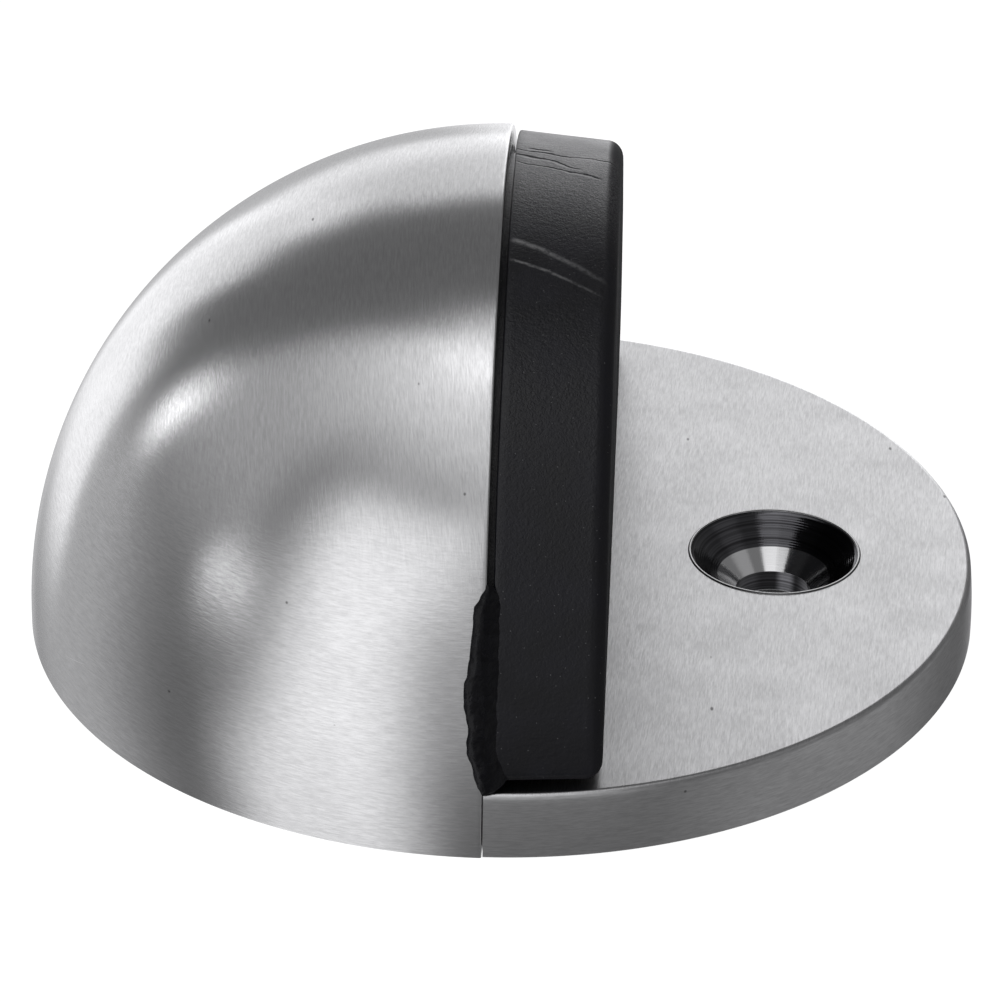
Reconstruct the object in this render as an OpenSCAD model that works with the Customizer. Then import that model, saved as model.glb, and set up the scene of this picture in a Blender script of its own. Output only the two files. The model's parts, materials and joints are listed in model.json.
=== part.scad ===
// Half-dome floor door stop: a brushed metal quarter-ball with a rubber buffer on its flat face,
// standing on a round base plate that takes one countersunk floor screw.
// Millimetres. The origin is on the floor at the centre of the round plan, in the plane where the
// dome's metal ends. +X points at the door, Y runs along the buffer and +Z is up.

/* [Overall] */
// Diameter of the round plan, shared by the dome and the base plate
body_d = 45; // [42:1:60]
// Height of the upright skirt below the dome's curve
skirt_h = 0.5; // [0.3:0.1:1]
// How far the buffer's face stands out from the dome's metal rim
buffer_reach = 5.25; // [4:0.25:6]

/* [Dome shell] */
// Wall of the pressed shell
wall_t = 1; // [0.8:0.1:1.5]
// Adhesive between the shell and the block inside it
bond_t = 0.3; // [0.2:0.1:0.5]

/* [Base plate] */
// Thickness of the base plate
plate_t = 3.2; // [3:0.1:4]
// Rounding along the plate's upper edge
plate_edge_r = 0.3; // [0.2:0.1:0.6]
// Gap between the dome's rim and the plate's step, seen as the seam
seam_gap = 0.1; // [0.05:0.05:0.2]
// Clearance between the shell's inside and the plate's rear half
shell_clearance = 0.05; // [0.05:0.05:0.2]

/* [Floor screw hole] */
// Distance of the hole from the middle of the plan
screw_x = 13; // [12:0.5:15]
// Diameter of the countersink at the plate's top
sink_d = 8; // [7:0.5:8.5]
// Diameter of the straight bore for a 3.5 mm screw
bore_d = 3.6; // [3.6:0.1:4.4]
// Width of the small chamfer around the countersink's mouth
lip_w = 0.15; // [0.1:0.05:0.2]

/* [Underside] */
// Distance of the clamp screws behind the middle of the plan
clamp_x = 11; // [10.5:0.5:12]
// Distance of each clamp screw from the centre line
clamp_y = 9; // [8:0.5:10]
// Distance of the locating hole behind the middle of the plan
locating_x = 15; // [14:0.5:16]
// Diameter of the hole for the loose locating dowel
locating_d = 4; // [3:0.5:5]

/* [Rubber buffer] */
// Radius lost between the dome's rim and the back edge of the buffer
buffer_inset = 0.3; // [0.2:0.1:0.6]
// Further radius lost by the front edge, from the mould's draft
buffer_draft = 0.4; // [0.3:0.05:1]
// Rounding of the buffer's front edge
buffer_edge_r = 0.8; // [0.5:0.1:1.5]
// Gap between the metal rim and the back of the buffer
rim_gap = 0.3; // [0.2:0.05:0.6]
// Gap between the buffer and the plate's top
foot_gap = 0.3; // [0.2:0.1:0.5]
// Depth of the buffer's plug inside the shell's mouth
plug_depth = 1.5; // [1:0.1:2]
// Diameter of the two studs moulded on the plug
stud_d = 5; // [4:0.5:6]
// Length of each stud behind the plug
stud_h = 5; // [4:0.5:5]
// Distance of each stud from the centre line
stud_y = 8; // [7:0.5:9]
// Height of the studs above the floor
stud_z = 10; // [9:0.5:11]

/* [Hidden] */

$fn = 160;
small_fn = 48;
over = 1;

body_r = body_d / 2;
inner_r = body_r - wall_t;
core_r = inner_r - bond_t;
tongue_r = inner_r - shell_clearance;
big = 2 * body_d;

// Circle that rounds the plate's upper edge, tangent to the dome's curve and to the flat top
edge_z = plate_t - plate_edge_r;
edge_x = sqrt(pow(body_r - plate_edge_r, 2) - pow(edge_z - skirt_h, 2));
edge_top_z = skirt_h + (edge_z - skirt_h) * body_r / (body_r - plate_edge_r);

// Heights in the floor screw hole, from the floor up
sink_r = sink_d / 2;
bore_r = bore_d / 2;
lip_h = lip_w / 2;
bore_top_z = plate_t - lip_h - (sink_r - lip_w - bore_r);

// Clamp screws: M4 countersunk, heads sunk a little below the plate's underside
clamp_r = 2;
clamp_hole_r = 2.2;
clamp_sink_r = 4;
clamp_recess = 0.2;
clamp_head_h = clamp_sink_r - clamp_recess - clamp_r;
clamp_top_z = 12;
clamp_tip_gap = 0.5;
thread_gap = 0.05;
hex_af = 2.5;
hex_depth = 1.2;

// Buffer and its glue
buffer_r = body_r - buffer_inset;
front_r = buffer_r - buffer_draft;
buffer_foot_z = plate_t + foot_gap;
glue_t = 0.3;
sleeve_t = 0.4;
sleeve_end_gap = 0.05;
plug_r = inner_r - sleeve_t;
core_front_x = plug_depth + glue_t;
socket_gap = 0.1;
bead_r = body_r + 0.05;
bead_lump_r = 0.5;
bead_lump_x = 0.3;
bead_lump_in = 0.3;
bead_start = 8;
bead_sweep = 23;
edge_steps = 8;

steel = [0.72, 0.72, 0.70];
plate_steel = [0.66, 0.66, 0.65];
rubber = [0.06, 0.06, 0.07];
glue = [0.03, 0.03, 0.04];
zinc = [0.50, 0.51, 0.53];
adhesive = [0.80, 0.76, 0.60];
screw_steel = [0.42, 0.43, 0.45];

// Everything above a height
module above(z) {
    translate([-big / 2, -big / 2, z]) cube([big, big, big]);
}

// Everything on the door side of a plane across X
module ahead_of(x) {
    translate([x, -big / 2, -big / 2]) cube([big, big, big]);
}

// Everything behind a plane across X
module behind(x) {
    translate([x - big, -big / 2, -big / 2]) cube([big, big, big]);
}

// Upright skirt with a ball's top half on it, of the dome's centre and a given radius
module ball_on_skirt(r) {
    cylinder(r = r, h = skirt_h);
    intersection() {
        translate([0, 0, skirt_h]) sphere(r = r);
        above(skirt_h);
    }
}

// Turns a profile drawn as [radius, x] about the level line through the dome's centre
module turned_about_x() {
    translate([0, 0, skirt_h]) rotate([0, 90, 0]) rotate_extrude() children();
}

// Half of the plate's outline, as [radius, height]
module plate_outline() {
    square([body_r, skirt_h]);
    intersection() {
        translate([0, skirt_h]) circle(r = body_r);
        square([body_r, edge_top_z]);
    }
    translate([edge_x, edge_z]) circle(r = plate_edge_r, $fn = small_fn);
    square([edge_x, plate_t]);
}

// Floor screw hole: straight bore, 90 degree countersink and a lip chamfer
module floor_screw_hole() {
    translate([screw_x, 0, 0]) rotate_extrude($fn = 96) polygon([
        [0, -over],
        [bore_r, -over],
        [bore_r, bore_top_z],
        [sink_r - lip_w, plate_t - lip_h],
        [sink_r, plate_t],
        [sink_r, plate_t + over],
        [0, plate_t + over]
    ]);
}

// Clearance hole and countersink for one clamp screw, cut from below
module clamp_hole(side) {
    translate([-clamp_x, side * clamp_y, 0]) {
        translate([0, 0, -over]) cylinder(r = clamp_hole_r, h = plate_t + 2 * over, $fn = small_fn);
        translate([0, 0, -over]) cylinder(r1 = clamp_sink_r + over, r2 = clamp_hole_r,
            h = clamp_sink_r + over - clamp_hole_r, $fn = small_fn);
    }
}

module base_plate() {
    color(plate_steel) difference() {
        union() {
            intersection() {
                rotate_extrude() plate_outline();
                ahead_of(seam_gap);
            }
            cylinder(r = tongue_r, h = plate_t);
        }
        floor_screw_hole();
        for (side = [-1, 1]) clamp_hole(side);
        translate([-locating_x, 0, -over])
            cylinder(d = locating_d, h = plate_t + 2 * over, $fn = small_fn);
    }
}

module dome_shell() {
    color(steel) intersection() {
        difference() {
            ball_on_skirt(body_r);
            translate([0, 0, -over]) cylinder(r = inner_r, h = skirt_h + over);
            translate([0, 0, skirt_h]) sphere(r = inner_r);
        }
        behind(0);
    }
}

module core_block() {
    color(zinc) difference() {
        intersection() {
            translate([0, 0, skirt_h]) sphere(r = core_r);
            above(plate_t);
            behind(-core_front_x);
        }
        for (side = [-1, 1]) {
            translate([-clamp_x, side * clamp_y, 0])
                cylinder(r = clamp_r + thread_gap, h = clamp_top_z + clamp_tip_gap, $fn = small_fn);
            translate([over - core_front_x, side * stud_y, stud_z]) rotate([0, -90, 0])
                cylinder(r = stud_d / 2 + socket_gap, h = stud_h + socket_gap + over, $fn = small_fn);
        }
    }
}

module shell_bond() {
    color(adhesive) intersection() {
        difference() {
            translate([0, 0, skirt_h]) sphere(r = inner_r);
            translate([0, 0, skirt_h]) sphere(r = core_r);
        }
        above(plate_t);
        behind(-core_front_x);
    }
}

// Buffer's outline, as [radius, x], with the front edge rounded
module buffer_outline() {
    front = buffer_reach - buffer_edge_r;
    polygon(concat(
        [[0, -plug_depth], [plug_r, -plug_depth], [plug_r, rim_gap], [buffer_r, rim_gap]],
        [for (i = [0:edge_steps]) let (a = 90 * i / edge_steps)
            [front_r - buffer_edge_r * (1 - cos(a)), front + buffer_edge_r * sin(a)]],
        [[0, buffer_reach]]
    ));
}

module rubber_buffer() {
    color(rubber) {
        intersection() {
            turned_about_x() buffer_outline();
            above(buffer_foot_z);
        }
        for (side = [-1, 1]) translate([over - plug_depth, side * stud_y, stud_z])
            rotate([0, -90, 0]) cylinder(d = stud_d, h = stud_h + over, $fn = small_fn);
    }
}

// Glue behind the plug and around it, as [radius, x]
module glue_outline() {
    translate([0, -core_front_x]) square([inner_r, glue_t]);
    translate([plug_r, -core_front_x]) square([sleeve_t, core_front_x - sleeve_end_gap]);
}

// Section of the glue that has squeezed out of the rim gap and over the rim, as [radius, -x]
module bead_outline() {
    translate([plug_r + sleeve_t / 4, -rim_gap / 2]) square([sleeve_t / 2, rim_gap / 2 + glue_t]);
    translate([plug_r, -rim_gap]) square([bead_r - plug_r, rim_gap]);
    difference() {
        translate([body_r - bead_lump_in, bead_lump_x]) circle(r = bead_lump_r, $fn = small_fn);
        intersection() {
            circle(r = body_r);
            square([body_r, body_r]);
        }
    }
}

// The bead at the dome's right foot
module squeezed_out_bead() {
    translate([0, 0, skirt_h]) rotate([90, 0, -90]) rotate([0, 0, bead_start])
        rotate_extrude(angle = bead_sweep) bead_outline();
}

module buffer_glue() {
    color(glue) difference() {
        union() {
            intersection() {
                turned_about_x() glue_outline();
                above(buffer_foot_z);
            }
            squeezed_out_bead();
        }
        for (side = [-1, 1]) translate([0, side * stud_y, stud_z]) rotate([0, -90, 0])
            cylinder(r = stud_d / 2 + socket_gap, h = core_front_x + over, $fn = small_fn);
    }
}

module clamp_screw(side) {
    color(screw_steel) translate([-clamp_x, side * clamp_y, clamp_recess]) difference() {
        union() {
            cylinder(r1 = clamp_head_h + clamp_r, r2 = clamp_r, h = clamp_head_h, $fn = small_fn);
            cylinder(r = clamp_r, h = clamp_top_z - clamp_recess, $fn = small_fn);
        }
        translate([0, 0, -over]) cylinder(d = hex_af / cos(30), h = hex_depth + over, $fn = 6);
    }
}

module clamp_screw_left() { clamp_screw(1); }
module clamp_screw_right() { clamp_screw(-1); }

base_plate();
dome_shell();
core_block();
shell_bond();
rubber_buffer();
buffer_glue();
clamp_screw_left();
clamp_screw_right();
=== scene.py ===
"""Looks for a half-dome floor door stop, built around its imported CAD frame.

The frame is in metres, with the origin on the floor at the centre of the round plan. +X points at the
door, Y runs along the rubber buffer and +Z is up. Lengths are given in millimetres times MM.
"""
import json
import math

import bmesh
import bpy
from mathutils import Matrix, Vector, noise


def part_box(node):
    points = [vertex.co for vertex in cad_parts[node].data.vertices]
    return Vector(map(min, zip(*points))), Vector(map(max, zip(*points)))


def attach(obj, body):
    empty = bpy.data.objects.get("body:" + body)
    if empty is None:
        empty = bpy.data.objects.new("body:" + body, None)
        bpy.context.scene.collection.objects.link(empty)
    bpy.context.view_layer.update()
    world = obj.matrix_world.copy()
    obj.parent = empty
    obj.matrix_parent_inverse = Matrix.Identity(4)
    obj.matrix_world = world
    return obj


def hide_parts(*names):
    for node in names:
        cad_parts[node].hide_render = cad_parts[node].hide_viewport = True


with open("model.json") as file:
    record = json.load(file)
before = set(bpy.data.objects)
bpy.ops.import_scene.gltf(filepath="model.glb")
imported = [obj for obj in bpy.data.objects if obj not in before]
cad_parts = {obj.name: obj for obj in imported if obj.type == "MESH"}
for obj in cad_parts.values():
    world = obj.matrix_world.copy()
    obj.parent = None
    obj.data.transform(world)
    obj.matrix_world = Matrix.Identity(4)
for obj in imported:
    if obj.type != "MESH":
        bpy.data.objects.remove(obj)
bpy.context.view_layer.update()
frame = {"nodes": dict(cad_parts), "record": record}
MM = 0.001

# ------------------------------------------------------------ sizes taken from the frame

SHELL_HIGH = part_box("dome_shell")[1]
PLATE_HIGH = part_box("base_plate")[1]
BUFFER_LOW, BUFFER_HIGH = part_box("rubber_buffer")
CORE_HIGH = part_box("core_block")[1]
SCREW_LOW, SCREW_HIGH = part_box("clamp_screw_left")
MOUNTS = {m["name"]: m for m in frame["record"]["mounts"]}

BODY_R = SHELL_HIGH.y
SKIRT_H = SHELL_HIGH.z - BODY_R
PLATE_T = PLATE_HIGH.z
BUFFER_FRONT = BUFFER_HIGH.x
BUFFER_R = BUFFER_HIGH.z - SKIRT_H
BUFFER_FOOT = BUFFER_LOW.z
CORE_FRONT = CORE_HIGH.x
CLAMP_X = (SCREW_LOW.x + SCREW_HIGH.x) / 2
CLAMP_Y = (SCREW_LOW.y + SCREW_HIGH.y) / 2
HOLE_X = MOUNTS["floor_screw_hole"]["pos_m"][0]
HOLE_R = MOUNTS["floor_screw_hole"]["dims"]["r_mm"] * MM
HOLE_STRAIGHT = MOUNTS["floor_screw_hole"]["dims"]["length_mm"] * MM
LOCATING_X = MOUNTS["locating_hole"]["pos_m"][0]
LOCATING_R = MOUNTS["locating_hole"]["dims"]["r_mm"] * MM

# ------------------------------------------------------------ sizes of the parts' details

WALL = 1.0 * MM
RIM_ROUND = 0.08 * MM
SEAM = 0.05 * MM
TONGUE_GAP = 0.05 * MM
PLATE_EDGE_R = 0.30 * MM
FOOT_CHAMFER = 0.08 * MM
SINK_R = 4.0 * MM
SINK_BRIGHT_R = 2.68 * MM
SINK_LIP = 0.15 * MM
SINK_RINGS = 13
SINK_RING_DEPTH = 0.006 * MM
SINK_STEPS = 192
BURR_W = 0.06 * MM
BURR_H = 0.06 * MM
CLAMP_HOLE_R = 2.2 * MM
CLAMP_SINK_R = 4.0 * MM
HOLE_STEPS = 96
RIM_GAP = 0.30 * MM
PLUG_DEPTH = 1.5 * MM
SLEEVE_T = 0.4 * MM
SLEEVE_INSET = 0.05 * MM
BUFFER_DRAFT = 0.40 * MM
BUFFER_EDGE_R = 0.80 * MM
BUFFER_BACK_R = 0.10 * MM
BUFFER_CORNER_R = 0.45 * MM
BUFFER_WOBBLE = 0.03 * MM
BUFFER_WAVE = 5.0 * MM
BUFFER_SEED = 1
STUD_R = 2.5 * MM
STUD_H = 5.0 * MM
STUD_ROOT = 0.5 * MM
STUD_Y = 8.0 * MM
STUD_Z = 10.0 * MM
STUD_STEPS = 48

INNER_R = BODY_R - WALL
PLUG_R = INNER_R - SLEEVE_T
TONGUE_R = INNER_R - TONGUE_GAP
CENTRE = Vector((0, 0, SKIRT_H))
WELD = 1e-7
SHARP_DEG = 35


# ------------------------------------------------------------ mesh helpers

def arc(centre, radius, start_deg, end_deg, steps):
    """Points of an arc in a plane, as (a, b) pairs."""
    angles = [math.radians(start_deg + (end_deg - start_deg) * i / steps) for i in range(steps + 1)]
    return [(centre[0] + radius * math.cos(a), centre[1] + radius * math.sin(a)) for a in angles]


def add_rows(bm, rows):
    """Vertices for rows of points."""
    return [[bm.verts.new(p) for p in row] for row in rows]


def stitch(bm, rows, wrap=False):
    """Quads between rows of vertices; wrap joins each row's end to its start."""
    count = len(rows[0])
    for low, high in zip(rows, rows[1:]):
        for i in range(count if wrap else count - 1):
            j = (i + 1) % count
            bm.faces.new([low[i], low[j], high[j], high[i]])


def mark_edges(bm):
    """Smooth faces, with sharp edges where two faces meet at more than SHARP_DEG."""
    for face in bm.faces:
        face.smooth = True
    for edge in bm.edges:
        edge.smooth = len(edge.link_faces) == 2 and edge.calc_face_angle(0.0) < math.radians(SHARP_DEG)


def object_from(name, bm):
    """An object from bmesh data: vertices welded, normals turned outward and sharp edges marked."""
    bmesh.ops.remove_doubles(bm, verts=bm.verts, dist=WELD)
    bmesh.ops.recalc_face_normals(bm, faces=bm.faces)
    mark_edges(bm)
    mesh = bpy.data.meshes.new(name)
    bm.to_mesh(mesh)
    bm.free()
    obj = bpy.data.objects.new(name, mesh)
    bpy.context.scene.collection.objects.link(obj)
    return obj


def even_normals(obj):
    """Lets large flat faces keep true normals beside small rounds."""
    modifier = obj.modifiers.new("even_normals", "WEIGHTED_NORMAL")
    modifier.keep_sharp = True


def turned(name, outline, steps, origin, axis="z"):
    """A solid of revolution of (radius, height) points, which start and end on the axis."""
    rows = []
    for r, h in outline:
        circle = [(r * math.cos(a), r * math.sin(a)) for a in (2 * math.pi * i / steps for i in range(steps))]
        rows.append([origin + (Vector((u, v, h)) if axis == "z" else Vector((h, u, v))) for u, v in circle])
    bm = bmesh.new()
    stitch(bm, add_rows(bm, rows), wrap=True)
    return object_from(name, bm)


def combine(target, tool, operation):
    """Cuts target with tool, or joins the two, and removes the tool."""
    modifier = target.modifiers.new("combine", "BOOLEAN")
    modifier.operation = operation
    modifier.solver = "EXACT"
    modifier.object = tool
    bpy.context.view_layer.update()
    depsgraph = bpy.context.evaluated_depsgraph_get()
    mesh = bpy.data.meshes.new_from_object(target.evaluated_get(depsgraph))
    target.modifiers.clear()
    target.data = mesh
    bpy.data.objects.remove(tool)
    bm = bmesh.new()
    bm.from_mesh(mesh)
    bmesh.ops.dissolve_degenerate(bm, edges=bm.edges, dist=WELD)
    mark_edges(bm)
    bm.to_mesh(mesh)
    bm.free()


# ------------------------------------------------------------ dome shell

def make_dome():
    """The pressed half-dome: an outer and an inner skin, a rim with small rounds and a short skirt."""
    turns, slices = 220, 160
    curve = [(math.sin(a), -math.cos(a)) for a in (math.pi / 2 * i / slices for i in range(slices))]
    outer = [(BODY_R * r, BODY_R * x) for r, x in curve if BODY_R * x < -RIM_ROUND]
    inner = [(INNER_R * r, INNER_R * x) for r, x in curve[:len(outer)]]
    outer += arc((BODY_R - RIM_ROUND, -RIM_ROUND), RIM_ROUND, 0, 90, 4)
    inner += arc((INNER_R + RIM_ROUND, -RIM_ROUND), RIM_ROUND, 180, 90, 4)
    bm = bmesh.new()
    skins = []
    for skin in (outer, inner):
        rows = []
        for i in range(turns + 1):
            a = math.pi * i / turns
            rows.append([CENTRE + Vector((x, -r * math.cos(a), r * math.sin(a))) for r, x in skin])
        near_foot = [Vector((p.x, p.y, 0)) for p in rows[0]]
        far_foot = [Vector((p.x, p.y, 0)) for p in rows[-1]]
        rows = add_rows(bm, [near_foot] + rows + [far_foot])
        stitch(bm, rows)
        skins.append(rows)
    out_rows, in_rows = skins
    stitch(bm, [[row[-1] for row in out_rows], [row[-1] for row in in_rows]])
    stitch(bm, [out_rows[0], in_rows[0]])
    stitch(bm, [out_rows[-1], in_rows[-1]])
    dome = object_from("dome_shell_pressed", bm)
    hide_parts("dome_shell")
    return dome


# ------------------------------------------------------------ base plate

def plate_levels():
    """The plate's side as (radius, height): a chamfer, the skirt, the dome's own curve and a round."""
    round_z = PLATE_T - PLATE_EDGE_R - SKIRT_H
    round_r = math.sqrt((BODY_R - PLATE_EDGE_R) ** 2 - round_z ** 2)
    lean = math.degrees(math.atan2(round_z, round_r))
    side = arc((0, SKIRT_H), BODY_R, 0, lean, 10)
    edge = arc((round_r, SKIRT_H + round_z), PLATE_EDGE_R, lean, 90, 8)
    return [(BODY_R - FOOT_CHAMFER, 0), (BODY_R, FOOT_CHAMFER)] + side + edge[1:]


def plate_ring(radius, height):
    """One level of the plate: its round front, then a step in to the tongue inside the shell."""
    front_end = math.degrees(math.acos(SEAM / radius))
    tongue_end = math.degrees(math.acos(SEAM / TONGUE_R))
    ring = arc((0, 0), radius, -front_end, front_end, 240)
    ring += arc((0, 0), TONGUE_R, tongue_end, 360 - tongue_end, 160)
    return [Vector((x, y, height)) for x, y in ring]


def sink_outline():
    """Cutter for the floor screw hole: straight bore, countersink with uneven rings above, and lip."""
    rise = SINK_BRIGHT_R - HOLE_R
    start = Vector((SINK_BRIGHT_R, HOLE_STRAIGHT + rise))
    end = Vector((SINK_R - SINK_LIP, HOLE_STRAIGHT + SINK_R - SINK_LIP - HOLE_R))
    out = Vector((-1, 1)).normalized()
    points = [(0, -MM), (HOLE_R + FOOT_CHAMFER, -MM), (HOLE_R + FOOT_CHAMFER, 0)]
    points += [(HOLE_R, FOOT_CHAMFER), (HOLE_R, HOLE_STRAIGHT)]
    steps = SINK_RINGS * 6
    for i in range(steps + 1):
        t = i / steps
        wave = 0.5 - 0.5 * math.cos(2 * math.pi * t * SINK_RINGS)
        depth = SINK_RING_DEPTH * wave * (0.6 + 0.4 * math.sin(11 * t))
        points.append(tuple(start.lerp(end, t) + out * depth))
    return points + [(SINK_R, PLATE_T), (SINK_R, PLATE_T + MM), (0, PLATE_T + MM)]


def make_plate():
    """The base plate, with its countersunk hole and the holes that only its underside shows."""
    bm = bmesh.new()
    rows = add_rows(bm, [plate_ring(r, z) for r, z in plate_levels()])
    stitch(bm, rows, wrap=True)
    bm.faces.new(rows[0])
    bm.faces.new(rows[-1])
    plate = object_from("base_plate_turned", bm)
    burr = [(0, PLATE_T / 2), (SINK_R + 2 * BURR_W, PLATE_T / 2), (SINK_R + 2 * BURR_W, PLATE_T)]
    burr += [(SINK_R + BURR_W, PLATE_T + BURR_H), (0, PLATE_T + BURR_H)]
    combine(plate, turned("burr", burr, SINK_STEPS, Vector((HOLE_X, 0, 0))), "UNION")
    combine(plate, turned("sink_cutter", sink_outline(), SINK_STEPS, Vector((HOLE_X, 0, 0))), "DIFFERENCE")
    rise = CLAMP_SINK_R + MM - CLAMP_HOLE_R
    clamp = [(0, -MM), (CLAMP_SINK_R + MM, -MM), (CLAMP_HOLE_R, rise - MM)]
    clamp += [(CLAMP_HOLE_R, PLATE_T + MM), (0, PLATE_T + MM)]
    for side in (-1, 1):
        cutter = turned("clamp_cutter", clamp, HOLE_STEPS, Vector((CLAMP_X, side * CLAMP_Y, 0)))
        combine(plate, cutter, "DIFFERENCE")
    hole = [(0, -MM), (LOCATING_R, -MM), (LOCATING_R, PLATE_T + MM), (0, PLATE_T + MM)]
    combine(plate, turned("locating_cutter", hole, HOLE_STEPS, Vector((LOCATING_X, 0, 0))), "DIFFERENCE")
    even_normals(plate)
    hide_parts("base_plate")
    return plate


# ------------------------------------------------------------ rubber buffer

def half_round(radius, foot, x):
    """A half-round outline across X: an arc over a level foot, joined by small rounded corners."""
    rise = math.degrees(math.asin((foot + BUFFER_CORNER_R - SKIRT_H) / (radius - BUFFER_CORNER_R)))
    over = arc((0, SKIRT_H), radius, 180 - rise, rise, 200)
    side = (radius - BUFFER_CORNER_R) * math.cos(math.radians(rise))
    far = arc((side, foot + BUFFER_CORNER_R), BUFFER_CORNER_R, rise, -90, 8)
    under = [(side * (1 - i / 20), foot) for i in range(1, 40)]
    near = arc((-side, foot + BUFFER_CORNER_R), BUFFER_CORNER_R, 270, 180 - rise, 8)
    return [Vector((x, y, z)) for y, z in over + far[1:] + under + near[:-1]]


def buffer_stations():
    """The buffer's sections from back to front, as (x, radius, foot height)."""
    stations = [(-PLUG_DEPTH, PLUG_R, BUFFER_FOOT), (RIM_GAP, PLUG_R, BUFFER_FOOT)]
    for inset, x in arc((BUFFER_BACK_R, RIM_GAP + BUFFER_BACK_R), BUFFER_BACK_R, 270, 180, 4):
        stations.append((x, BUFFER_R - inset, BUFFER_FOOT))
    straight = stations[-1][0]
    front = BUFFER_FRONT - BUFFER_EDGE_R
    for i in range(1, 13):
        t = i / 12
        stations.append((straight + (front - straight) * t, BUFFER_R - BUFFER_DRAFT * t, BUFFER_FOOT))
    for i in range(1, 11):
        a = math.radians(9 * i)
        inset = 1 - math.cos(a)
        radius = BUFFER_R - BUFFER_DRAFT - BUFFER_EDGE_R * inset
        foot = BUFFER_FOOT + BUFFER_CORNER_R * inset
        stations.append((front + BUFFER_EDGE_R * math.sin(a), radius, foot))
    return stations


def make_buffer():
    """The moulded buffer: a half-round slab, a plug in the shell's mouth and two studs behind it."""
    bm = bmesh.new()
    rows = [half_round(radius, foot, x) for x, radius, foot in buffer_stations()]
    front_rim = rows[-1]
    middle = Vector((BUFFER_FRONT, 0, BODY_R / 2))
    for share in (0.97, 0.75, 0.5, 0.25):
        rows.append([middle.lerp(p, share) for p in front_rim])
    noise.seed_set(BUFFER_SEED)
    for row in rows[2:]:
        for p in row:
            p += noise.noise_vector(p / BUFFER_WAVE) * BUFFER_WOBBLE
            p.z = max(p.z, BUFFER_FOOT)
            p.x = min(p.x, BUFFER_FRONT)
    rows = add_rows(bm, rows)
    stitch(bm, rows, wrap=True)
    bm.faces.new(rows[0])
    bm.faces.new(rows[-1])
    buffer = object_from("rubber_buffer_moulded", bm)
    stud = [(0, STUD_ROOT - PLUG_DEPTH), (STUD_R, STUD_ROOT - PLUG_DEPTH)]
    stud += [(STUD_R, -PLUG_DEPTH - STUD_H), (0, -PLUG_DEPTH - STUD_H)]
    for side in (-1, 1):
        piece = turned("stud", stud, STUD_STEPS, Vector((0, side * STUD_Y, STUD_Z)), "x")
        combine(buffer, piece, "UNION")
    even_normals(buffer)
    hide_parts("rubber_buffer")
    return buffer


# ------------------------------------------------------------ glue

# How far the bead reaches over the rim, as (degrees above the dome's centre, mm), from foot to top
BEAD_REACH = [(6.8, 0.15), (8, 0.34), (9.5, 0.42), (12, 0.72), (13, 0.74), (14.6, 0.67), (16, 0.76),
              (17.5, 0.9), (19.8, 0.89), (21, 0.75), (24, 0.65), (28.4, 0.55), (29.6, 0.4), (31, 0.1)]
BEAD_FOOT_REACH = 1.2 * MM
BEAD_TOP_REACH = 0.7 * MM
BEAD_FOOT_DEG = 12
BEAD_FOOT_BLEND_DEG = 4
BEAD_PROUD = 0.26 * MM
BEAD_SUNK = 0.02 * MM
BEAD_DEPTH = 0.35 * MM
BEAD_OVER_BUFFER = 0.1 * MM
BEAD_LUMP = 0.05 * MM
BEAD_LUMP_WAVES = (0.55 * MM, 0.25 * MM)


def bead_reach(angle):
    """The bead's reach over the rim at an angle, eased between the listed points."""
    for (a, low), (b, high) in zip(BEAD_REACH, BEAD_REACH[1:]):
        if angle <= b:
            t = (angle - a) / (b - a)
            t = t * t * (3 - 2 * t)
            return (low + (high - low) * t) * MM
    return BEAD_REACH[-1][1] * MM


def bead_section(angle, fullness):
    """A closed section of the bead, from its left edge over the top and back under the surface."""
    left = -bead_reach(angle)
    foot = max(0.0, min(1.0, (BEAD_FOOT_DEG - angle) / BEAD_FOOT_BLEND_DEG))
    right = BEAD_TOP_REACH + (BEAD_FOOT_REACH - BEAD_TOP_REACH) * foot
    left, right = left * fullness, RIM_GAP / 2 + (right - RIM_GAP / 2) * fullness
    slope = (BODY_R - BUFFER_R + BEAD_OVER_BUFFER) * fullness
    top, steps = [], 18
    for i in range(steps + 1):
        t = i / steps
        x = left + (right - left) * t
        swell = BEAD_PROUD * fullness * math.sin(math.pi * t) ** 0.7 * (1 - t) ** 0.5
        top.append((x, BODY_R - BEAD_SUNK - slope * t * t + swell))
    under = [(x, r - BEAD_DEPTH * math.sin(math.pi * i / steps)) for i, (x, r) in enumerate(top)][1:-1]
    points = []
    for x, r in top + under[::-1]:
        a = math.radians(angle)
        p = CENTRE + Vector((x, -r * math.cos(a), r * math.sin(a)))
        outward = Vector((0, -math.cos(a), math.sin(a)))
        lump = noise.noise(p / BEAD_LUMP_WAVES[0]) + 0.5 * noise.noise(p / BEAD_LUMP_WAVES[1])
        p += outward * BEAD_LUMP * lump * fullness
        p.y = max(p.y, -BODY_R)
        points.append(p)
    return points


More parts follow.
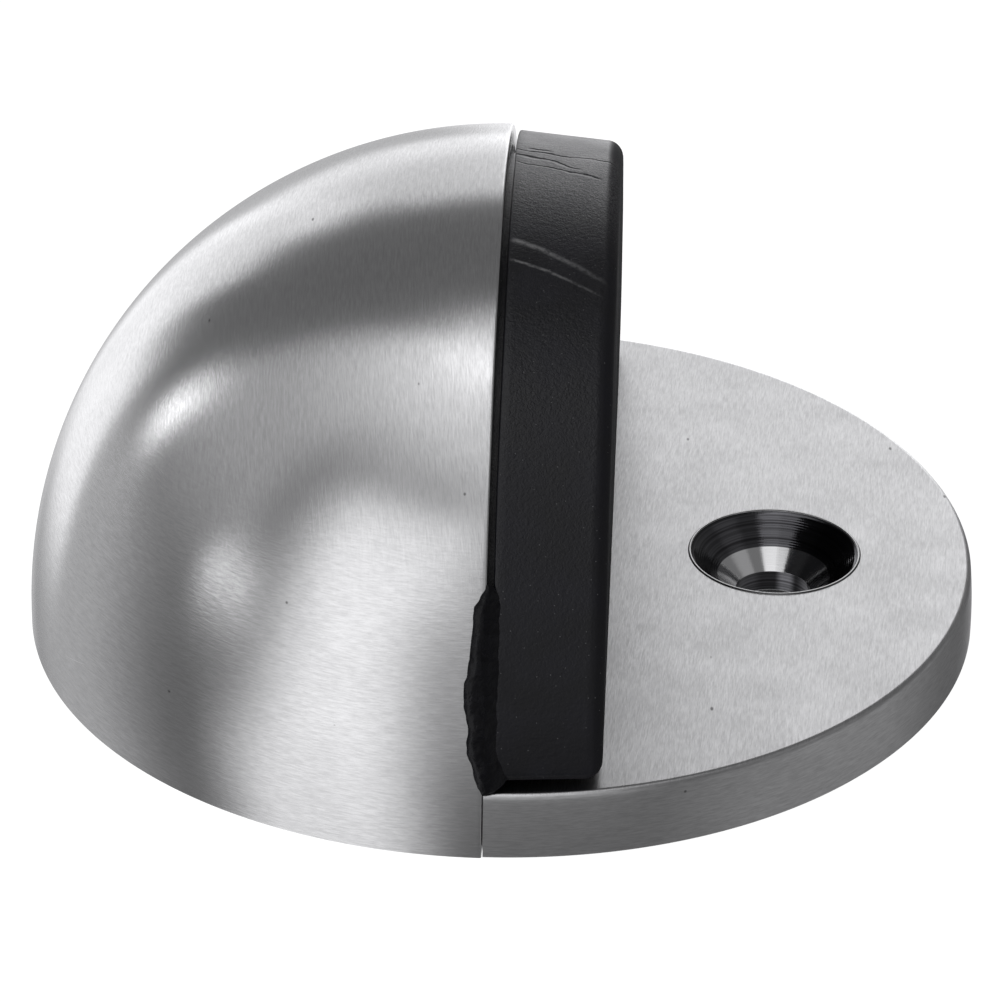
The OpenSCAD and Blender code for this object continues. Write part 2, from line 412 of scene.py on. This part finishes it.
def make_glue():
    """The glue: a film behind the plug, a sleeve around it and the bead squeezed out at one foot."""
    bm = bmesh.new()
    film = [(INNER_R, CORE_FRONT), (INNER_R, -SLEEVE_INSET), (PLUG_R, -SLEEVE_INSET), (PLUG_R, -PLUG_DEPTH)]
    rows = add_rows(bm, [half_round(r, BUFFER_FOOT, x) for r, x in film])
    stitch(bm, rows, wrap=True)
    bm.faces.new(rows[0])
    bm.faces.new(rows[-1])
    sections = []
    first, last, count = BEAD_REACH[0][0], BEAD_REACH[-1][0], 110
    for i in range(count + 1):
        t = i / count
        fullness = min(1.0, math.sqrt(max(t, 0) * 12), math.sqrt(max(1 - t, 0) * 10))
        sections.append(bead_section(first + (last - first) * t, max(fullness, 0.02)))
    rows = add_rows(bm, sections)
    stitch(bm, rows, wrap=True)
    bm.faces.new(rows[0])
    bm.faces.new(rows[-1])
    glue = object_from("buffer_glue_squeezed", bm)
    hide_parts("buffer_glue")
    return glue


# ------------------------------------------------------------ material helpers

class Graph:
    """Adds nodes to a node tree; most methods return an output socket."""

    def __init__(self, tree):
        self.nodes = tree.nodes
        self.links = tree.links

    def add(self, kind, **settings):
        node = self.nodes.new(kind)
        for key, value in settings.items():
            setattr(node, key, value)
        return node

    def put(self, node, inputs):
        """Links a socket, or sets a value, for each of a node's inputs in turn."""
        for socket, value in zip(node.inputs, inputs):
            if isinstance(value, bpy.types.NodeSocket):
                self.links.new(value, socket)
            elif value is not None:
                socket.default_value = value
        return node.outputs[0]

    def math(self, operation, *inputs, clamp=False):
        return self.put(self.add("ShaderNodeMath", operation=operation, use_clamp=clamp), inputs)

    def vector(self, operation, *inputs):
        node = self.add("ShaderNodeVectorMath", operation=operation)
        self.put(node, inputs)
        return node.outputs["Value" if operation in ("DOT_PRODUCT", "LENGTH") else "Vector"]

    def scaled(self, vector, factor):
        node = self.add("ShaderNodeVectorMath", operation="SCALE")
        self.links.new(vector, node.inputs[0])
        node.inputs["Scale"].default_value = factor
        return node.outputs["Vector"]

    def split(self, vector):
        node = self.add("ShaderNodeSeparateXYZ")
        self.links.new(vector, node.inputs[0])
        return node.outputs[0], node.outputs[1], node.outputs[2]

    def join(self, x, y, z=0.0):
        return self.put(self.add("ShaderNodeCombineXYZ"), (x, y, z))

    def ease(self, value, start, end, low=0.0, high=1.0):
        """Smooth step from low at start to high at end."""
        node = self.add("ShaderNodeMapRange", interpolation_type="SMOOTHSTEP")
        return self.put(node, (value, start, end, low, high))

    def noise(self, vector, scale, detail=2.0, roughness=0.5, distortion=0.0):
        node = self.add("ShaderNodeTexNoise")
        self.links.new(vector, node.inputs["Vector"])
        node.inputs["Scale"].default_value = scale
        node.inputs["Detail"].default_value = detail
        node.inputs["Roughness"].default_value = roughness
        node.inputs["Distortion"].default_value = distortion
        return node.outputs["Fac"]

    def specks(self, vector, scale, size, share):
        """Small spots in a share of the cells: 1 inside a spot and 0 outside."""
        node = self.add("ShaderNodeTexVoronoi")
        self.links.new(vector, node.inputs["Vector"])
        node.inputs["Scale"].default_value = scale
        chosen = self.math("LESS_THAN", self.split(node.outputs["Color"])[0], share)
        return self.math("MULTIPLY", chosen, self.ease(node.outputs["Distance"], size, size * 0.4))

    def blend(self, factor, low, high):
        """Mix of two colours."""
        node = self.add("ShaderNodeMix", data_type="RGBA")
        for socket, value in ((node.inputs[0], factor), (node.inputs[6], low), (node.inputs[7], high)):
            if isinstance(value, bpy.types.NodeSocket):
                self.links.new(value, socket)
            else:
                socket.default_value = value
        return node.outputs[2]

    def blend_vector(self, factor, low, high):
        """Mix of two vectors."""
        node = self.add("ShaderNodeMix", data_type="VECTOR")
        self.links.new(factor, node.inputs[0])
        self.links.new(low, node.inputs[4])
        self.links.new(high, node.inputs[5])
        return node.outputs[1]

    def bump(self, height, depth, under=None):
        """A normal from a height of 0 to 1 and a depth in metres, on top of another one if given."""
        node = self.add("ShaderNodeBump")
        node.inputs["Strength"].default_value = 1.0
        node.inputs["Distance"].default_value = depth
        self.links.new(height, node.inputs["Height"])
        if under is not None:
            self.links.new(under, node.inputs["Normal"])
        return node.outputs["Normal"]


class Recipe(Graph):
    """A node material that starts from a shader and from places in millimetres."""

    def __init__(self, name, **settings):
        self.material = bpy.data.materials.new(name)
        self.material.use_nodes = True
        super().__init__(self.material.node_tree)
        self.shader = self.nodes["Principled BSDF"]
        for socket, value in settings.items():
            self.shader.inputs[socket.replace("_", " ")].default_value = value
        self.place = self.scaled(self.add("ShaderNodeTexCoord").outputs["Object"], 1 / MM)

    def finish(self, **sockets):
        for name, value in sockets.items():
            self.links.new(value, self.shader.inputs[name.replace("_", " ")])
        return self.material


def grey(level, blue=0.0):
    """A neutral colour, a little bluer where asked."""
    return (level, level, level * (1 + blue), 1.0)


# ------------------------------------------------------------ brushed steel

UP_GRAIN_LEAN = math.radians(8)
PLATE_GRAIN_LEAN = math.radians(4)
# Heights above the dome's centre where the grain turns from over the top to level, give or take half
# the wander, in millimetres
UP_GRAIN_Z = 16.0
LEVEL_GRAIN_Z = 9.5
GRAIN_WANDER = 5.0
# Greys of the hole's ringed cone and bore: painted shade, far darker than the steel
SINK_CONE_PAINTED_SHADE = (0.05, 0.14)
SINK_STAGE = 0.92
SINK_ROUGH = 0.12


def grain_lines(r, across, along):
    """Brush lines: fine and coarse noise, stretched along the stroke; inputs are in millimetres."""
    fine = r.noise(r.join(r.math("MULTIPLY", across, 14.0), r.math("MULTIPLY", along, 1.4)), 1.0, 2.0, 0.7)
    middle = r.noise(r.join(r.math("MULTIPLY", across, 6.0), r.math("MULTIPLY", along, 0.6), 7.0), 1.0, 2.0)
    return r.math("ADD", r.math("MULTIPLY", fine, 0.7), r.math("MULTIPLY", middle, 0.3))


def brushed(r, lines, clouds, marks, dark, light, rough, smooth):
    """Colour, roughness and normal of brushed steel with small dark marks and pale scratches."""
    tone = r.math("ADD", r.math("MULTIPLY", lines, 0.85), r.math("MULTIPLY", clouds, 0.15))
    colour = r.blend(r.ease(tone, 0.3, 0.7), grey(dark), grey(light))
    pits, scratches = marks
    colour = r.blend(r.math("MULTIPLY", pits, 0.75), colour, grey(0.08))
    colour = r.blend(r.math("MULTIPLY", scratches, 0.6), colour, grey(0.95))
    dull = r.math("ADD", r.math("MULTIPLY", lines, 0.5), r.math("MULTIPLY", clouds, 0.5))
    return colour, r.ease(dull, 0.3, 0.7, rough, smooth), r.bump(lines, 0.006 * MM)


def dome_steel():
    """Satin steel, brushed over the top in planes across X and level round the foot."""
    r = Recipe("brushed_dome_steel", Metallic=1.0, Anisotropic=0.65, Anisotropic_Rotation=0.25)
    place = r.vector("SUBTRACT", r.place, (0, 0, SKIRT_H / MM))
    x, y, z = r.split(place)
    radius = BODY_R / MM
    lean = (math.cos(UP_GRAIN_LEAN), 0, math.sin(UP_GRAIN_LEAN))
    across = r.vector("DOT_PRODUCT", place, lean)
    over = r.math("MULTIPLY", r.math("ARCTAN2", z, r.math("MULTIPLY", y, -1.0)), radius)
    around = r.math("MULTIPLY", r.math("ARCTAN2", y, x), radius)
    wander = r.math("MULTIPLY_ADD", r.noise(place, 0.12, 2.0), GRAIN_WANDER, -GRAIN_WANDER / 2)
    level = r.ease(r.math("ADD", z, wander), UP_GRAIN_Z, LEVEL_GRAIN_Z)
    lines = r.math("ADD", r.math("MULTIPLY", grain_lines(r, z, around), level),
                   r.math("MULTIPLY", grain_lines(r, across, over), r.math("SUBTRACT", 1.0, level)))
    stroke_up = r.vector("NORMALIZE", r.vector("CROSS_PRODUCT", lean, place))
    stroke_level = r.vector("NORMALIZE", r.vector("CROSS_PRODUCT", (0, 0, 1), place))
    stroke = r.vector("NORMALIZE", r.blend_vector(level, stroke_up, stroke_level))
    pits = r.specks(r.join(x, r.math("MULTIPLY", over, 0.4), z), 0.9, 0.07, 0.16)
    along_mark = r.vector("DOT_PRODUCT", place, (0.05, 0, 0.03))
    across_mark = r.vector("DOT_PRODUCT", place, (-1.2, 0, 2.2))
    scratches = r.specks(r.join(along_mark, across_mark, 0.0), 1.0, 0.05, 0.12)
    colour, rough, normal = brushed(r, lines, r.noise(place, 0.25, 3.0), (pits, scratches),
                                    0.57, 0.73, 0.26, 0.20)
    return r.finish(Base_Color=colour, Roughness=rough, Tangent=stroke, Normal=normal)


def plate_steel():
    """The plate: brushed nearly along Y on top, level round its side, dark and bright in the hole, where the
    dark of the ringed cone and the bore is painted shade.
    """
    r = Recipe("brushed_plate_steel", Metallic=1.0, Anisotropic=0.7, Anisotropic_Rotation=0.25)
    place = r.place
    x, y, z = r.split(place)
    along = (math.sin(PLATE_GRAIN_LEAN), math.cos(PLATE_GRAIN_LEAN), 0)
    across = r.vector("DOT_PRODUCT", place, (along[1], -along[0], 0))
    around = r.math("MULTIPLY", r.math("ARCTAN2", y, x), BODY_R / MM)
    up = r.split(r.add("ShaderNodeNewGeometry").outputs["Normal"])[2]
    top = r.ease(r.math("ABSOLUTE", up), 0.6, 0.9)
    lines = r.math("ADD", r.math("MULTIPLY", grain_lines(r, across, y), top),
                   r.math("MULTIPLY", grain_lines(r, z, around), r.math("SUBTRACT", 1.0, top)))
    stroke_round = r.vector("NORMALIZE", r.vector("CROSS_PRODUCT", (0, 0, 1), place))
    stroke = r.vector("NORMALIZE", r.blend_vector(top, stroke_round, r.join(*along)))
    pits = r.specks(r.join(x, r.math("MULTIPLY", y, 0.45), z), 0.8, 0.08, 0.2)
    scratches = r.specks(r.join(r.math("MULTIPLY", x, 0.3), r.math("MULTIPLY", y, 3.0), z), 0.7, 0.05, 0.05)
    colour, rough, normal = brushed(r, lines, r.noise(place, 0.3, 3.0), (pits, scratches),
                                    0.53, 0.72, 0.34, 0.28)

    spoke = r.vector("SUBTRACT", place, (HOLE_X / MM, 0, 0))
    to_axis = r.vector("LENGTH", r.vector("MULTIPLY", spoke, (1, 1, 0)))
    depth = r.math("SUBTRACT", PLATE_T / MM, z)
    near = r.ease(to_axis, (SINK_R + 3 * BURR_W) / MM, (SINK_R + 2 * BURR_W) / MM)
    inside = r.math("MULTIPLY", r.math("MULTIPLY", near, r.ease(depth, 0.004, 0.012)), r.ease(z, 0.01, 0.02))
    burr_side = r.ease(to_axis, (SINK_R + BURR_W / 2) / MM, (SINK_R + BURR_W) / MM + 0.01)
    # Dark grey ring on the burr's outer flank: painted shade of the burr
    burr_painted_shade = r.math("MULTIPLY", burr_side, r.ease(depth, 0.0, -0.01))
    rings = r.noise(r.join(r.math("MULTIPLY", to_axis, 9.0), r.math("MULTIPLY", z, 9.0)), 1.0, 2.0)
    # Dark ringed cone and bore: painted shade in the hole; the lower stage keeps a bright steel colour
    hole_colour_with_painted_shade = r.blend(r.ease(rings, 0.35, 0.65), grey(SINK_CONE_PAINTED_SHADE[0], 0.06), grey(SINK_CONE_PAINTED_SHADE[1], 0.06))
    stage = r.ease(to_axis, SINK_BRIGHT_R / MM + 0.02, SINK_BRIGHT_R / MM - 0.02)
    stage = r.math("MULTIPLY", stage, r.ease(z, HOLE_STRAIGHT / MM - 0.02, HOLE_STRAIGHT / MM + 0.02))
    hole_colour_with_painted_shade = r.blend(stage, hole_colour_with_painted_shade, grey(SINK_STAGE))
    colour = r.blend(inside, r.blend(burr_painted_shade, colour, grey(0.12)), hole_colour_with_painted_shade)
    rough = r.math("ADD", r.math("MULTIPLY", rough, r.math("SUBTRACT", 1.0, inside)),
                   r.math("MULTIPLY", inside, SINK_ROUGH))
    stroke_hole = r.vector("NORMALIZE", r.vector("CROSS_PRODUCT", (0, 0, 1), spoke))
    stroke = r.blend_vector(inside, stroke, stroke_hole)
    return r.finish(Base_Color=colour, Roughness=rough, Tangent=stroke, Normal=normal)


# ------------------------------------------------------------ rubber, glue and hidden parts

# Shallow creases over the buffer's crest and paler scuffs below it, as (distance round the arc from
# the crest at the back edge, further distance at the front edge, first x, last x, half width)
CREASES = [(-3.6, 0.2, 0.9, 2.0, 0.10), (-3.2, 0.4, 0.3, 5.0, 0.07), (-2.5, 1.0, 0.3, 3.4, 0.09),
           (-1.5, 0.8, 0.4, 4.4, 0.07)]
SCUFFS = [(5.3, 2.3, 0.4, 4.9, 0.13), (6.6, 1.8, 0.4, 4.7, 0.07)]


def streaks(r, x, along_arc, wobble, rows):
    """Curved lines across the buffer: 1 on a line and 0 elsewhere."""
    total = 0.0
    for start, travel, first, last, half in rows:
        share = r.math("DIVIDE", r.math("SUBTRACT", x, first), last - first, clamp=True)
        line = r.math("MULTIPLY_ADD", r.math("POWER", share, 1.4), travel, start)
        off = r.math("ABSOLUTE", r.math("SUBTRACT", r.math("ADD", along_arc, wobble), line))
        ends = r.math("MULTIPLY", r.ease(x, first - 0.1, first + 0.3), r.ease(x, last + 0.1, last - 0.5))
        mark = r.math("MULTIPLY", r.ease(off, half * 2, 0.0), ends)
        total = r.math("MAXIMUM", total, mark)
    return total


def black_rubber():
    """Moulded black rubber: a fine grain, creases over the crest, a paler crest that is partly dust and
    partly painted sheen, pale scuffs and specks.
    """
    r = Recipe("moulded_black_rubber", Specular_IOR_Level=0.45)
    place = r.place
    x, y, z = r.split(place)
    along_arc = r.math("MULTIPLY", r.math("ARCTAN2", r.math("MULTIPLY", y, -1.0), z), BUFFER_R / MM)
    wobble = r.math("MULTIPLY_ADD", r.noise(place, 0.9, 3.0), 0.8, -0.4)
    creases = streaks(r, x, along_arc, wobble, CREASES)
    scuffs = streaks(r, x, along_arc, r.math("MULTIPLY", wobble, 0.25), SCUFFS)
    grain = r.noise(place, 5.0, 3.0, 0.65)
    pores = r.noise(place, 11.0, 2.0, 0.7)
    bloom = r.noise(place, 0.5, 3.0)
    broken = r.ease(r.noise(place, 4.0, 2.0), 0.3, 0.6)
    specks = r.specks(place, 3.2, 0.11, 0.6)
    colour = r.blend(r.ease(bloom, 0.3, 0.7), (0.003, 0.003, 0.005, 1), (0.005, 0.005, 0.009, 1))
    # Paler crest: partly dust settled on top, partly painted sheen standing in for grazing light on the crest
    dust_and_sheen = r.ease(r.math("ABSOLUTE", along_arc), 6.0, 0.5, 0.0, 0.10)
    colour = r.blend(r.math("MULTIPLY", dust_and_sheen, r.ease(pores, 0.35, 0.65)), colour, grey(0.60))
    worn = r.math("MULTIPLY", scuffs, r.ease(x, BUFFER_FRONT / MM + 1, 0.0, 0.05, 1.0))
    worn = r.math("MULTIPLY", worn, r.math("MULTIPLY_ADD", broken, 0.28, 0.10))
    colour = r.blend(worn, colour, grey(0.55))
    colour = r.blend(r.math("MULTIPLY", specks, 0.22), colour, grey(0.5))
    rough = r.ease(r.math("ADD", bloom, r.math("MULTIPLY", grain, 0.3)), 0.4, 0.9, 0.28, 0.36)
    facing = r.split(r.add("ShaderNodeNewGeometry").outputs["Normal"])
    matte = r.math("MAXIMUM", r.ease(facing[0], 0.1, 0.6), r.ease(facing[2], 0.0, -0.5))
    rough = r.math("ADD", rough, r.math("MULTIPLY", matte, 0.5))
    normal = r.bump(grain, 0.025 * MM)
    normal = r.bump(pores, 0.018 * MM, normal)
    normal = r.bump(r.math("SUBTRACT", 1.0, creases), 0.10 * MM, normal)
    return r.finish(Base_Color=colour, Roughness=rough, Normal=normal)


def black_glue():
    """Cured black glue, glossier than the rubber and lumpy."""
    r = Recipe("cured_black_glue", Specular_IOR_Level=0.2)
    place = r.place
    lumps = r.noise(place, 2.2, 3.0, 0.6)
    colour = r.blend(r.ease(lumps, 0.3, 0.7), (0.002, 0.002, 0.003, 1), (0.005, 0.005, 0.007, 1))
    rough = r.ease(lumps, 0.3, 0.7, 0.36, 0.22)
    normal = r.bump(lumps, 0.08 * MM)
    return r.finish(Base_Color=colour, Roughness=rough, Normal=normal)


def cast_zinc():
    """Grey die casting with a slight orange-peel skin."""
    r = Recipe("cast_zinc", Metallic=1.0)
    place = r.place
    skin = r.noise(place, 1.5, 4.0, 0.6)
    colour = r.blend(r.ease(skin, 0.3, 0.7), grey(0.30, 0.05), grey(0.42, 0.05))
    return r.finish(Base_Color=colour, Roughness=r.ease(skin, 0.3, 0.7, 0.65, 0.5),
                    Normal=r.bump(skin, 0.05 * MM))


def cured_adhesive():
    """Pale structural adhesive."""
    r = Recipe("cured_adhesive")
    place = r.place
    swirl = r.noise(place, 0.8, 3.0, 0.6, 1.0)
    colour = r.blend(r.ease(swirl, 0.3, 0.7), (0.60, 0.55, 0.38, 1), (0.76, 0.71, 0.54, 1))
    return r.finish(Base_Color=colour, Roughness=r.ease(swirl, 0.3, 0.7, 0.5, 0.35),
                    Normal=r.bump(swirl, 0.05 * MM))


def screw_steel():
    """Dark machined screw steel with turned rings on the head."""
    r = Recipe("machined_screw_steel", Metallic=1.0)
    place = r.place
    x, y, z = r.split(place)
    off_x = r.math("SUBTRACT", x, CLAMP_X / MM)
    off_y = r.math("SUBTRACT", r.math("ABSOLUTE", y), CLAMP_Y / MM)
    ring = r.vector("LENGTH", r.join(off_x, off_y, 0.0))
    rings = r.noise(r.join(ring, z, 0.0), 7.0, 2.0)
    colour = r.blend(r.ease(rings, 0.3, 0.7), grey(0.22, 0.06), grey(0.36, 0.06))
    return r.finish(Base_Color=colour, Roughness=r.ease(rings, 0.3, 0.7, 0.42, 0.28),
                    Normal=r.bump(rings, 0.01 * MM))


def dress(obj, material):
    """Gives a piece or CAD node its one material."""
    obj.data.materials.clear()
    obj.data.materials.append(material)
    for polygon in obj.data.polygons:
        polygon.material_index = 0


# ------------------------------------------------------------ stage

FLOOR_HALF = 3.0


def floor_plane():
    """A plain pale floor."""
    bm = bmesh.new()
    bmesh.ops.create_grid(bm, x_segments=1, y_segments=1, size=FLOOR_HALF)
    floor = object_from("floor", bm)
    r = Recipe("white_floor", Base_Color=grey(0.15), Roughness=0.9, Emission_Color=grey(1.0))
    r.finish(Emission_Strength=r.ease(r.vector("LENGTH", r.place), BODY_R / MM - 1.0, BODY_R / MM - 0.5))
    floor.data.materials.append(r.material)
    floor.visible_glossy = False
    floor.visible_diffuse = False
    floor.visible_shadow = False


def aim(azimuth_deg, elevation_deg):
    """Unit vector from the object: azimuth 0 is -Y, 90 is +X."""
    a, e = math.radians(azimuth_deg), math.radians(elevation_deg)
    return Vector((math.sin(a) * math.cos(e), -math.cos(a) * math.cos(e), math.sin(e)))


# The photo tent's white panels and lamps: azimuth, half its width, its soft edge, then the lowest and
# highest elevation and their soft edge, all in degrees, and the brightness
PANELS = {
    "overhead": (0, 180, 6, 78.5, 120, 8, 0.85),
    "ceiling": (-38, 72, 10, 57, 90, 36, 0.84),
    "top_front": (9, 25, 6, 62, 88, 5, 0.09),
    "front_upper": (-31, 23, 22, 24, 45, 10, 1.12),
    "front_wall": (-35.5, 17.5, 30, -12, 24, 10, 1.13),
    "front_lower": (-40, 22, 26, -45, -12, 14, 1.0),
    "front_fill": (12, 22, 10, -10, 60, 20, 0.25),
    "left_wall": (-91, 21, 4, 16, 52, 28, 0.30),
    "left_lamp": (-113.5, 3.5, 4, 12.5, 25.5, 6, 2.6),
    "left_spot": (-70, 8, 9, 8, 16, 9, 1.5),
    "left_low": (-123, 27, 40, -60, 6, 7, 0.37),
    "back_corner": (-154, 6, 4, -20, 30.5, 8, 0.90),
    "back_left": (-143.5, 4.5, 4, -20, 23, 8, 0.90),
    "back_far_left": (-134, 5, 4, -20, 9, 8, 0.82),
    "back_wall": (182.5, 17, 4, 0, 38.5, 6, 0.66),
    "back_right": (170, 7, 5, -24, 34, 11, 0.75),
    "back_low": (182, 22, 4, -60, 14, 14, 0.36),
    "back_strip": (179, 4, 3, -40, 6, 6, 0.6),
    "right_low": (84, 34, 38, -40, 12, 20, 0.17),
    "right_wall": (88, 20, 8, 32, 52, 8, 0.12),
}
TENT_SHADE = 0.15


def studio():
    """A white photo tent around the object, with dark gaps between its panels."""
    world = bpy.data.worlds.new("photo_tent")
    world.use_nodes = True
    bpy.context.scene.world = world
    g = Graph(world.node_tree)
    x, y, z = g.split(g.add("ShaderNodeTexCoord").outputs["Generated"])
    azimuth = g.math("DEGREES", g.math("ARCTAN2", x, g.math("MULTIPLY", y, -1.0)))
    elevation = g.math("DEGREES", g.math("ARCSINE", z))
    light = TENT_SHADE
    for centre, half, side_soft, low, high, end_soft, brightness in PANELS.values():
        off = g.math("ABSOLUTE", g.math("WRAP", g.math("SUBTRACT", azimuth, centre), 180.0, -180.0))
        across = g.ease(off, half + side_soft / 2, half - side_soft / 2)
        above = g.ease(elevation, low - end_soft / 2, low + end_soft / 2)
        below = g.ease(elevation, high + end_soft / 2, high - end_soft / 2)
        share = g.math("MULTIPLY", across, g.math("MULTIPLY", above, below))
        light = g.math("ADD", light, g.math("MULTIPLY", share, brightness))
    background = world.node_tree.nodes["Background"]
    background.inputs["Color"].default_value = grey(0.985, 0.02)
    g.links.new(light, background.inputs["Strength"])


def camera():
    """A long lens at the product's front, a little above it."""
    target = Vector((-0.08 * MM, 0, 5.54 * MM))
    azimuth, elevation, roll, distance = 1.96, 29.2, 0.67, 241 * MM
    data = bpy.data.cameras.new("camera")
    data.sensor_width = 36
    data.lens = 182
    data.clip_start = 0.01
    data.clip_end = 20
    obj = bpy.data.objects.new("camera", data)
    bpy.context.scene.collection.objects.link(obj)
    back = aim(azimuth, elevation)
    turn = back.to_track_quat("Z", "Y").to_matrix() @ Matrix.Rotation(math.radians(roll), 3, "Z")
    obj.matrix_world = Matrix.Translation(target + back * distance) @ turn.to_4x4()
    bpy.context.scene.camera = obj


# ------------------------------------------------------------ assembly

bpy.context.scene.view_settings.view_transform = "Standard"
camera()
studio()
floor_plane()

steel, plate_finish, rubber, glue_finish = dome_steel(), plate_steel(), black_rubber(), black_glue()
for piece, finish, slot in (
    (make_dome(), steel, "dome_steel"),
    (make_plate(), plate_finish, "plate_steel"),
    (make_buffer(), rubber, "buffer_rubber"),
    (make_glue(), glue_finish, "black_glue"),
):
    dress(piece, finish)
    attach(piece, "root")

screw_finish = screw_steel()
dress(frame["nodes"]["core_block"], cast_zinc())
dress(frame["nodes"]["shell_bond"], cured_adhesive())
dress(frame["nodes"]["clamp_screw_left"], screw_finish)
dress(frame["nodes"]["clamp_screw_right"], screw_finish)
